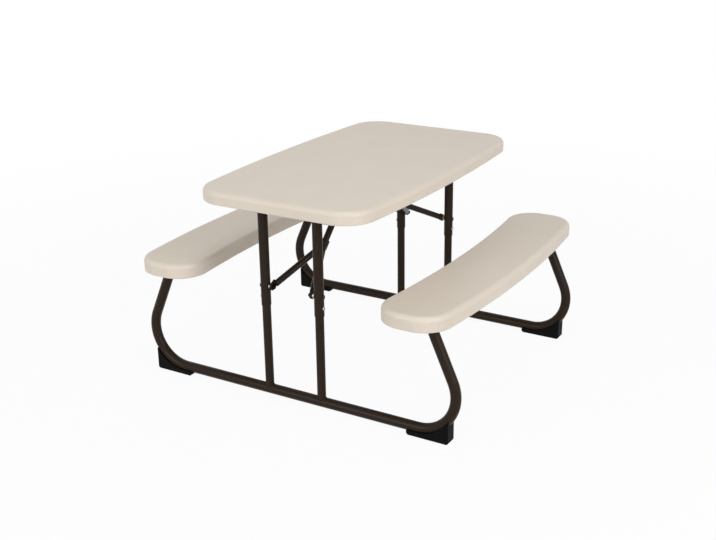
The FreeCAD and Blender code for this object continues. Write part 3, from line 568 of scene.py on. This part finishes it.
def take_off_lip(moulding, wall, top):
    """Deletes the top and the lip above the wall, selects the rim left there and gives its heights."""
    # The ends of blind holes lie as high as the lip, so only faces joined to the top are taken off.
    choose_faces(moulding, lambda face: lowest(face) < wall - MERGE)
    bpy.ops.mesh.hide(unselected=False)
    choose_faces(moulding, lambda face: lowest(face) > top - MERGE)
    bpy.ops.mesh.select_linked(delimit=set())
    bpy.ops.mesh.delete(type="FACE")
    bpy.ops.mesh.reveal(select=False)
    bpy.ops.mesh.select_mode(type="EDGE")
    bpy.ops.mesh.select_all(action="DESELECT")
    bpy.ops.mesh.select_non_manifold(use_wire=False, use_multi_face=False, use_non_contiguous=False,
                                     use_verts=False)
    return [vertex.co.z for vertex in bmesh.from_edit_mesh(moulding.data).verts if vertex.select]


def roll_lip(node, name, radius, segments):
    """A copy of a moulding whose lip is taken off, drawn up square and rounded anew in even steps.

    Gives None where the lip doesn't end in one level rim or the copy doesn't close.
    """
    moulding = copy_node(node, name)
    top = max(vertex.co.z for vertex in moulding.data.vertices)
    wall = top - radius
    bpy.ops.mesh.customdata_custom_splitnormals_clear()
    bpy.ops.object.mode_set(mode="EDIT")
    bpy.ops.mesh.select_mode(type="FACE")
    merge_points()
    rim = take_off_lip(moulding, wall, top)
    whole = bool(rim) and all(abs(height - wall) < MERGE for height in rim)
    if whole:
        bpy.ops.mesh.extrude_region_move(TRANSFORM_OT_translate={"value": (0.0, 0.0, radius)})
        bpy.ops.mesh.edge_face_add()
        bpy.ops.mesh.bevel(offset=radius, offset_type="OFFSET", segments=segments, profile=0.5,
                           affect="EDGES", clamp_overlap=False)
        merge_points()
        bpy.ops.mesh.normals_make_consistent(inside=False)
        whole = all(edge.is_manifold for edge in bmesh.from_edit_mesh(moulding.data).edges)
    smooth()
    if not whole:
        discard(moulding)
        return None
    even = moulding.modifiers.new("even", "WEIGHTED_NORMAL")
    even.keep_sharp = True
    bpy.ops.object.modifier_apply(modifier=even.name)
    return moulding


# Fasteners

HEAD_SIDES = 40
COLLAR_SIDES = 36
SHANK_SIDES = 24
SCREW_SIDES = 16
HEX_SIDES = 6
HEAD_SEGMENTS = 3  # steps round the rim of a round head

# Shares of a flange's thickness. The hexagon on it starts a little way inside it.
FLANGE_INSET, FLANGE_DROP, FLANGE_ROUND, HEX_START = 0.5, 0.35, 0.2, 0.9
# Shares of the chamfer of nuts and bolt heads
HEX_DROP, HEX_ROUND, COLLAR_ROUND = 0.6, 0.35, 0.4
COLLAR_SHARE = 0.8  # radius of a lock nut's collar over that of the nut
# The inset is a share of a head's radius, the drop and the rounding are shares of its height
BUTTON_INSET, BUTTON_DROP, BUTTON_ROUND = 0.45, 0.55, 0.3
PAN_INSET, PAN_DROP, PAN_ROUND = 0.3, 0.45, 0.22
SCREW_SHANK = 0.42  # radius of a screw's shank over that of its head
THREAD_ROOT = 0.86  # radius at the root of a thread over that at its crest


def hexagon_model(sizes, radius, height, base=0.0):
    """A hexagon with its upper corners chamfered."""
    hexagon = start_cylinder(HEX_SIDES, radius, height, base)
    chamfer_top(hexagon, sizes.nut_chamfer, sizes.nut_chamfer * HEX_DROP)
    soften(hexagon, sizes.nut_chamfer * HEX_ROUND)
    return hexagon


def shank_model(sizes, reach):
    """A bolt's shank down -Z, whose lower end is extruded into rings, in and out by turns."""
    shank = start_cylinder(SHANK_SIDES, sizes.thread_radius, reach - sizes.thread_length,
                           sizes.thread_length - reach)
    low = min(vertex.co.z for vertex in bmesh.from_edit_mesh(shank.data).verts)
    choose_faces(shank, lambda face: face.calc_center_median().z < low + LEVEL)
    step = sizes.thread_pitch / 2.0
    for ring in range(int(sizes.thread_length / step)):
        bpy.ops.mesh.extrude_region_move(TRANSFORM_OT_translate={"value": (0.0, 0.0, -step)})
        scale = THREAD_ROOT if ring % 2 == 0 else 1.0 / THREAD_ROOT
        bpy.ops.transform.resize(value=(scale, scale, 1.0), center_override=(0.0, 0.0, 0.0))
    smooth()
    return shank


def bolt_model(sizes, head_radius, head_height, reach):
    """A flanged hexagon bolt: the seat of its head is at the origin and its shank runs down -Z."""
    thickness = sizes.flange_thickness
    flange = start_cylinder(HEAD_SIDES, head_radius, thickness)
    chamfer_top(flange, thickness * FLANGE_INSET, thickness * FLANGE_DROP)
    soften(flange, thickness * FLANGE_ROUND)
    hexagon = hexagon_model(sizes, head_radius * sizes.hex_share, head_height - thickness,
                            thickness * HEX_START)
    return join([flange, hexagon, shank_model(sizes, reach)], "bolt_model")


def button_model(sizes, head_radius, head_height, reach):
    """A bolt with a low round head: the seat of its head is at the origin and its shank runs down -Z."""
    head = start_cylinder(HEAD_SIDES, head_radius, head_height)
    chamfer_top(head, head_radius * BUTTON_INSET, head_height * BUTTON_DROP)
    soften(head, head_height * BUTTON_ROUND, HEAD_SEGMENTS)
    return join([head, shank_model(sizes, reach)], "button_model")


def nut_model(sizes, radius):
    """A lock nut whose seat is at the origin, with its collar on top."""
    body = hexagon_model(sizes, radius, sizes.nut_height - sizes.nut_collar)
    collar = start_cylinder(COLLAR_SIDES, radius * COLLAR_SHARE, sizes.nut_height)
    chamfer_top(collar, sizes.nut_chamfer, sizes.nut_chamfer)
    soften(collar, sizes.nut_chamfer * COLLAR_ROUND)
    return join([body, collar], "nut_model")


def screw_model(sizes, head_radius, head_height, reach):
    """A pan-head screw with a cross in its head: its seat is at the origin and its shank runs down -Z."""
    head = start_cylinder(HEAD_SIDES, head_radius, head_height)
    chamfer_top(head, head_radius * PAN_INSET, head_height * PAN_DROP)
    soften(head, head_height * PAN_ROUND, HEAD_SEGMENTS)
    for turn in (0.0, math.pi / 2.0):
        clear_selection()
        bpy.ops.mesh.primitive_cube_add(size=1.0, location=(0.0, 0.0, head_height), rotation=(0.0, 0.0, turn))
        cutter = bpy.context.object
        cutter.scale = (sizes.cross_length, sizes.cross_width, sizes.cross_depth * 2.0)
        bpy.ops.object.transform_apply(location=True, rotation=True, scale=True)
        select_only(head)
        recess = head.modifiers.new("cross", "BOOLEAN")
        recess.operation = "DIFFERENCE"
        recess.object = cutter
        bpy.ops.object.modifier_apply(modifier=recess.name)
        discard(cutter)
    shank = start_cylinder(SCREW_SIDES, head_radius * SCREW_SHANK, reach, -reach)
    smooth()
    return join([head, shank], "screw_model")


# Welds

STEPS_PER_RIPPLE = 6
BEAD_SIDES = 10
RIPPLE_DEPTH = 0.14  # how much thinner the bead is between two ripples, as a share of its radius


def weld_model(sizes, radius, bead_radius):
    """A rippled bead round a tube of that radius."""
    clear_selection()
    bpy.ops.mesh.primitive_torus_add(major_radius=radius, minor_radius=bead_radius,
                                     major_segments=sizes.weld_ripples * STEPS_PER_RIPPLE,
                                     minor_segments=BEAD_SIDES)
    bead = bpy.context.object
    for vertex in bead.data.vertices:
        turn = math.atan2(vertex.co.y, vertex.co.x)
        core = Vector((math.cos(turn), math.sin(turn), 0.0)) * radius
        swell = 1.0 - RIPPLE_DEPTH + RIPPLE_DEPTH * abs(math.sin(turn * sizes.weld_ripples / 2.0))
        vertex.co = core + (vertex.co - core) * swell
    bpy.ops.object.shade_smooth()
    return bead


def saddle_weld(sizes, bead_radius, leg_radius, tube_radius, centre, above):
    """A bead where an upright leg meets a tube along Y, whose centre is given; above is 1, or -1 below it."""
    bead = weld_model(sizes, leg_radius, bead_radius)
    x, y, z = centre
    for vertex in bead.data.vertices:
        across = leg_radius * math.cos(math.atan2(vertex.co.y, vertex.co.x))
        rise = math.sqrt(max(tube_radius ** 2 - across ** 2, 0.0))
        vertex.co = (x + vertex.co.x, y + vertex.co.y, z + above * rise + vertex.co.z)
    return bead


# Operators

class PICNIC_OT_table_top(bpy.types.Operator):
    """Finishes the moulded top"""
    bl_idname = "picnic.table_top"
    bl_label = "Finish table top"

    def execute(self, context):
        look = context.scene.picnic.moulded
        seam_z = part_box("table_top")[HIGH][Z] - look.top_seam_drop
        paint_node("table_top", moulded_material("almond_table_top", look, seam_z))
        return {"FINISHED"}


class PICNIC_OT_benches(bpy.types.Operator):
    """Models the benches with an even rolled lip, and finishes them"""
    bl_idname = "picnic.benches"
    bl_label = "Model benches"

    def execute(self, context):
        look = context.scene.picnic.moulded
        for side in SIDES:
            name = side + "_bench"
            seam_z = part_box(name)[HIGH][Z] - look.bench_seam_drop
            material = moulded_material("almond_" + name, look, seam_z)
            bench = roll_lip(name, side + "_bench_moulding", look.lip_radius, look.lip_segments)
            if bench is None:
                paint_node(name, material)
            else:
                settle(bench, material, name, "moulded_plastic", name)
        return {"FINISHED"}


class PICNIC_OT_tubes(bpy.types.Operator):
    """Finishes the steel tubes and the bench brackets"""
    bl_idname = "picnic.tubes"
    bl_label = "Finish tubes"

    def execute(self, context):
        bronze = bronze_finish(context.scene.picnic)
        for end in ENDS:
            names = ["%s_%s" % (end, part) for part in ("base_tube", "cross_tube", "brace_stem", "brace_collar")]
            for side in SIDES:
                names += ["%s_%s_%s" % (end, side, part) for part in ("lower_leg", "upper_leg", "brace_arm")]
                names.append("%s_bench_%s_bracket" % (side, end))
            for name in names:
                paint_node(name, bronze)
        return {"FINISHED"}


class PICNIC_OT_black_parts(bpy.types.Operator):
    """Finishes the feet, plugs, caps and brace saddles"""
    bl_idname = "picnic.black_parts"
    bl_label = "Finish black parts"

    def execute(self, context):
        plastic = black_finish(context.scene.picnic)
        for end in ENDS:
            for part in ("left_foot", "right_foot", "cross_tube_plugs", "tube_caps", "brace_saddle"):
                paint_node("%s_%s" % (end, part), plastic)
        return {"FINISHED"}


class PICNIC_OT_plated_parts(bpy.types.Operator):
    """Finishes the plated brackets, keepers, rods and washers"""
    bl_idname = "picnic.plated_parts"
    bl_label = "Finish plated parts"

    def execute(self, context):
        zinc = zinc_finish(context.scene.picnic)
        for end in ENDS:
            for part in ("left_pivot_bracket", "right_pivot_bracket", "brace_keeper", "keeper_rod",
                         "brace_washers"):
                paint_node("%s_%s" % (end, part), zinc)
        return {"FINISHED"}


class PICNIC_OT_brace_fasteners(bpy.types.Operator):
    """Models the bolts and nuts that carry the braces"""
    bl_idname = "picnic.brace_fasteners"
    bl_label = "Model brace fasteners"

    def execute(self, context):
        settings = context.scene.picnic
        sizes = settings.fasteners
        for end in ENDS:
            bolts = end + "_brace_bolts"
            nuts = end + "_brace_nuts"
            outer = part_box(bolts)[HIGH][Y]
            head_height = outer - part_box(end + "_left_upper_leg")[HIGH][Y]
            nut_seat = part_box(nuts)[HIGH][Y]
            reach = outer - head_height - nut_seat + sizes.nut_height
            model = button_model(sizes, half_width(bolts, Z), head_height * sizes.button_share, reach)
            fit(model, pair_across(bolts, head_height), end + "_brace_bolt_pair", black_zinc_finish(settings),
                end + "_frame", "zinc_steel", bolts)
            x, _, z = middle(nuts)
            places = [((x, nut_seat * sign, z), (0.0, -sign, 0.0)) for sign in OUTWARDS.values()]
            fit(nut_model(sizes, half_width(nuts, Z)), places, end + "_brace_nut_pair", black_finish(settings),
                end + "_frame", "black_plastic", nuts)
        return {"FINISHED"}


class PICNIC_OT_bench_fasteners(bpy.types.Operator):
    """Models the bolts and nuts on which the benches turn"""
    bl_idname = "picnic.bench_fasteners"
    bl_label = "Model bench fasteners"

    def execute(self, context):
        settings = context.scene.picnic
        sizes = settings.fasteners
        for side, sign in OUTWARDS.items():
            bench = side + "_bench"
            bolts = bench + "_bolts"
            nuts = bench + "_nuts"
            tip, outer = span_outwards(bolts, sign)
            _, seat = span_outwards(bench + "_near_bracket", sign)
            _, nut_seat = span_outwards(nuts, sign)
            head_radius = half_width(bolts, Z)
            low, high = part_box(bolts)
            columns = (low[X] + head_radius, high[X] - head_radius)
            z = middle(bolts)[Z]
            model = bolt_model(sizes, head_radius, outer - seat, seat - tip)
            places = [((x, seat * sign, z), (0.0, sign, 0.0)) for x in columns]
            fit(model, places, bench + "_bolt_pair", zinc_finish(settings), bench, "zinc_steel", bolts)
            places = [((x, nut_seat * sign, z), (0.0, -sign, 0.0)) for x in columns]
            fit(nut_model(sizes, half_width(nuts, Z)), places, bench + "_nut_pair", black_finish(settings),
                bench, "black_plastic", nuts)
        return {"FINISHED"}


class PICNIC_OT_sleeve_screws(bpy.types.Operator):
    """Models the screws that hold the lower legs in their sleeves"""
    bl_idname = "picnic.sleeve_screws"
    bl_label = "Model sleeve screws"

    def execute(self, context):
        settings = context.scene.picnic
        sizes = settings.fasteners
        for end in ENDS:
            screws = end + "_sleeve_screws"
            head_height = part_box(screws)[HIGH][Y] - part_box(end + "_left_upper_leg")[HIGH][Y]
            model = screw_model(sizes, half_width(screws, Z), head_height, sizes.sleeve_screw_reach)
            fit(model, pair_across(screws, head_height), end + "_sleeve_screw_pair", zinc_finish(settings),
                end + "_frame", "zinc_steel", screws)
        return {"FINISHED"}


class PICNIC_OT_bracket_screws(bpy.types.Operator):
    """Models the screws that hold the brackets below the top and benches"""
    bl_idname = "picnic.bracket_screws"
    bl_label = "Model bracket screws"

    def execute(self, context):
        settings = context.scene.picnic
        sizes = settings.fasteners
        for body in ("table", "left_bench", "right_bench"):
            screws = body + "_screws"
            low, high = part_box(screws)
            seat = low[Z] + sizes.screw_head_height
            model = screw_model(sizes, sizes.screw_head_width / 2.0, sizes.screw_head_height,
                                high[Z] - low[Z] - sizes.screw_head_height)
            places = [((x, y, seat), (0.0, 0.0, -1.0))
                      for x, y in upright_columns(screws, sizes.screw_head_width)]
            fit(model, places, body + "_screw_set", zinc_finish(settings), body, "zinc_steel", screws)
        return {"FINISHED"}


class PICNIC_OT_welds(bpy.types.Operator):
    """Models the weld beads where legs meet the base and cross tubes"""
    bl_idname = "picnic.welds"
    bl_label = "Model welds"

    def execute(self, context):
        settings = context.scene.picnic
        sizes = settings.fasteners
        for end in ENDS:
            x, _, cross_z = middle(end + "_cross_tube")
            tube_radius = half_width(end + "_cross_tube", X)
            base_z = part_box(end + "_base_tube")[LOW][Z] + tube_radius
            beads = []
            for side in SIDES:
                leg = "%s_%s_lower_leg" % (end, side)
                sleeve = "%s_%s_upper_leg" % (end, side)
                y = middle(leg)[Y]
                beads.append(saddle_weld(sizes, sizes.weld_radius, half_width(leg, X), tube_radius,
                                         (x, y, base_z), 1.0))
                beads.append(saddle_weld(sizes, sizes.cross_weld_radius, half_width(sleeve, X), tube_radius,
                                         (x, y, cross_z), -1.0))
            settle(join(beads, end + "_leg_welds"), bronze_finish(settings), end + "_frame", "powder_coat")
        return {"FINISHED"}


# Stage

LAMPS = {  # width and place of each lamp, in metres
    "key": (2.2, (-1.2, -3.1, 1.6)),
    "fill": (2.2, (-3.4, 1.1, 1.4)),
    "top": (0.8, (-0.5, -0.5, 3.1)),
    "rim": (2.4, (2.4, 1.8, 2.8)),
}
LAMP_AIM = (0.0, 0.0, 0.3)  # the point that the lamps face
SENSOR_WIDTH = 36.0  # millimetres
CLIP_START, CLIP_END = 0.05, 60.0  # what the camera can see, in metres
WHITE = (1.0, 1.0, 1.0, 1.0)
FLOOR_ROUGHNESS = 0.9
GLOW_FADE = 3.0  # the floor is plain white from this many times the shadow's reach


class PICNIC_OT_stage(bpy.types.Operator):
    """Sets up the camera, the lamps, the floor and the background"""
    bl_idname = "picnic.stage"
    bl_label = "Set the stage"

    def execute(self, context):
        stage = context.scene.picnic.stage
        self.place_camera(context.scene, stage)
        self.lay_floor(stage)
        self.light_world(context.scene, stage)
        for name in LAMPS:
            self.hang_lamp(context.scene, stage, name)
        context.scene.view_settings.view_transform = "Standard"
        return {"FINISHED"}

    def place_camera(self, scene, stage):
        camera = bpy.data.objects.new("photo_camera", bpy.data.cameras.new("photo_camera"))
        camera.data.lens = stage.lens
        camera.data.sensor_width = SENSOR_WIDTH
        camera.data.clip_start = CLIP_START
        camera.data.clip_end = CLIP_END
        turn = (Matrix.Rotation(stage.yaw - math.pi / 2.0, 4, "Z")
                @ Matrix.Rotation(math.pi / 2.0 - stage.pitch, 4, "X")
                @ Matrix.Rotation(stage.roll, 4, "Z"))
        camera.matrix_world = Matrix.Translation(stage.place) @ turn
        scene.collection.objects.link(camera)
        scene.camera = camera

    def lay_floor(self, stage):
        clear_selection()
        bpy.ops.mesh.primitive_plane_add(size=stage.floor_size, location=(0.0, 0.0, 0.0))
        floor = bpy.context.object
        floor.name = "floor"
        material, tree, shader, place = new_material("pale_floor")
        shader.inputs["Base Color"].default_value = (*stage.floor_white, 1.0)
        shader.inputs["Roughness"].default_value = FLOOR_ROUGHNESS
        shader.inputs["Specular IOR Level"].default_value = 0.0
        glow = add_node(tree, "ShaderNodeEmission", {"Color": WHITE, "Strength": 1.0})
        away = add_node(tree, "ShaderNodeVectorMath", {0: place}, operation="LENGTH").outputs["Value"]
        whiter = between(tree, away, stage.shadow_reach, stage.shadow_reach * GLOW_FADE, stage.floor_glow, 1.0)
        glow_share = add_node(tree, "ShaderNodeMath", {0: seen_directly(tree), 1: whiter},
                              operation="MULTIPLY").outputs[0]
        mix = add_node(tree, "ShaderNodeMixShader", {"Fac": glow_share, 1: shader.outputs["BSDF"],
                                                     2: glow.outputs["Emission"]})
        tree.links.new(mix.outputs["Shader"], tree.nodes["Material Output"].inputs["Surface"])
        coat(floor, material)

    def light_world(self, scene, stage):
        world = bpy.data.worlds.new("studio")
        world.use_nodes = True
        tree = world.node_tree
        background = tree.nodes["Background"]
        background.inputs["Color"].default_value = WHITE
        tree.links.new(between(tree, seen_directly(tree), 0.0, 1.0, stage.sky, 1.0),
                       background.inputs["Strength"])
        scene.world = world

    def hang_lamp(self, scene, stage, name):
        width, place = LAMPS[name]
        lamp = bpy.data.lights.new(name + "_lamp", "AREA")
        lamp.energy = getattr(stage, name)
        lamp.color = stage.lamp_tint
        lamp.size = width
        lamp.shape = "DISK"
        holder = bpy.data.objects.new(name + "_lamp", lamp)
        holder.location = place
        aim = Vector(LAMP_AIM) - Vector(place)
        holder.rotation_euler = aim.to_track_quat("-Z", "Y").to_euler()
        scene.collection.objects.link(holder)


OPERATORS = (PICNIC_OT_table_top, PICNIC_OT_benches, PICNIC_OT_tubes, PICNIC_OT_black_parts,
             PICNIC_OT_plated_parts, PICNIC_OT_brace_fasteners, PICNIC_OT_bench_fasteners,
             PICNIC_OT_sleeve_screws, PICNIC_OT_bracket_screws, PICNIC_OT_welds, PICNIC_OT_stage)


class PICNIC_PT_table(bpy.types.Panel):
    """Lists the steps that finish the table"""
    bl_idname = "PICNIC_PT_table"
    bl_label = "Picnic Table"
    bl_space_type = "VIEW_3D"
    bl_region_type = "UI"
    bl_category = "Picnic Table"

    def draw(self, context):
        for operator in OPERATORS:
            self.layout.operator(operator.bl_idname)


CLASSES = (MouldedFinish, SteelFinish, BlackFinish, FastenerSizes, StageSettings, PicnicSettings, *OPERATORS,
           PICNIC_PT_table)


def register():
    for cls in CLASSES:
        bpy.utils.register_class(cls)
    bpy.types.Scene.picnic = PointerProperty(type=PicnicSettings)


def unregister():
    del bpy.types.Scene.picnic
    for cls in reversed(CLASSES):
        bpy.utils.unregister_class(cls)


def main():
    register()
    bpy.ops.picnic.table_top()
    bpy.ops.picnic.benches()
    bpy.ops.picnic.tubes()
    bpy.ops.picnic.black_parts()
    bpy.ops.picnic.plated_parts()
    bpy.ops.picnic.brace_fasteners()
    bpy.ops.picnic.bench_fasteners()
    bpy.ops.picnic.sleeve_screws()
    bpy.ops.picnic.bracket_screws()
    bpy.ops.picnic.welds()
    bpy.ops.picnic.stage()


if __name__ == "__main__":
    main()
